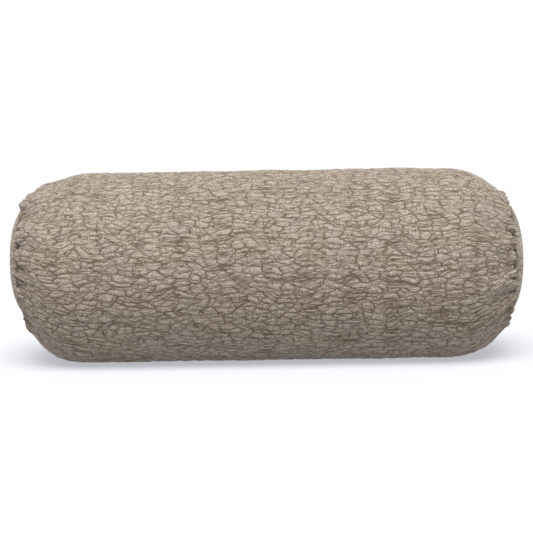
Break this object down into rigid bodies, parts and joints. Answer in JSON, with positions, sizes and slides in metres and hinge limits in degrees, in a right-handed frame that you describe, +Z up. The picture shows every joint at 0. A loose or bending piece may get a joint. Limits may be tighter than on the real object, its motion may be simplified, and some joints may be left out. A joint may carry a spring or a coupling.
{
  "type": "bolster pillow",
  "caption": "Cylindrical bolster pillow: crinkled chenille cover gathered onto round end panels, concealed zip along the back, stuffed inner pillow with fibre filling.",
  "frame": {"origin": "on the resting plane, under the middle of the pillow", "axes": "+Z up from the flattened underside, X along the pillow, -Y the front, +Y the back with the zip"},
  "size_m": [0.61, 0.232, 0.225],
  "materials": {
    "cover_crinkle_chenille": "crinkled chenille upholstery cloth, taupe, matt pile with darker creases",
    "cover_thread": "spun polyester sewing thread, taupe",
    "zip_tape_polyester": "woven polyester zip tape, taupe",
    "zip_nylon": "nylon coil teeth, taupe",
    "zip_enamelled_metal": "zinc alloy with baked enamel, taupe, satin",
    "insert_cotton": "plain-weave unbleached cotton",
    "insert_thread": "cotton-wrapped sewing thread, off-white",
    "polyester_fibre": "siliconised hollow polyester fibre, white"
  },
  "bodies": {
    "cushion": {"cover_body": "cover_crinkle_chenille", "cover_end_panel_left": "cover_crinkle_chenille", "cover_end_panel_right": "cover_crinkle_chenille", "end_seam_thread_left": "cover_thread", "end_seam_thread_right": "cover_thread", "fibre_fill": "polyester_fibre", "gather_thread_left": "cover_thread", "gather_thread_right": "cover_thread", "insert_casing_body": "insert_cotton", "insert_casing_end_left": "insert_cotton", "insert_casing_end_right": "insert_cotton", "insert_closing_stitch": "insert_thread", "insert_seam_thread_left": "insert_thread", "insert_seam_thread_right": "insert_thread", "long_seam_thread_left": "cover_thread", "long_seam_thread_right": "cover_thread", "overlock_thread_left": "cover_thread", "overlock_thread_right": "cover_thread", "zip_bottom_stop": "zip_enamelled_metal", "zip_stitching_lower": "cover_thread", "zip_stitching_upper": "cover_thread", "zip_tape_lower": "zip_tape_polyester", "zip_tape_upper": "zip_tape_polyester", "zip_teeth_lower": "zip_nylon", "zip_teeth_upper": "zip_nylon", "zip_top_stops": "zip_enamelled_metal"},
    "zip_slider": {"zip_slider": "zip_enamelled_metal"},
    "zip_pull": {"zip_pull": "zip_enamelled_metal"}
  },
  "joints": [
    {"name": "zip_travel", "type": "slide", "parent": "cushion", "child": "zip_slider", "axis": [-1, 0, 0], "range_m": [0, 0.378], "deforming": ["zip_teeth_upper", "zip_teeth_lower"]},
    {"name": "pull_swing", "type": "hinge", "parent": "zip_slider", "child": "zip_pull", "pos_m": [0.189, 0.11379, 0.13949], "axis": [0, 0.2588, -0.9659], "range_deg": [0, 175]}
  ]
}
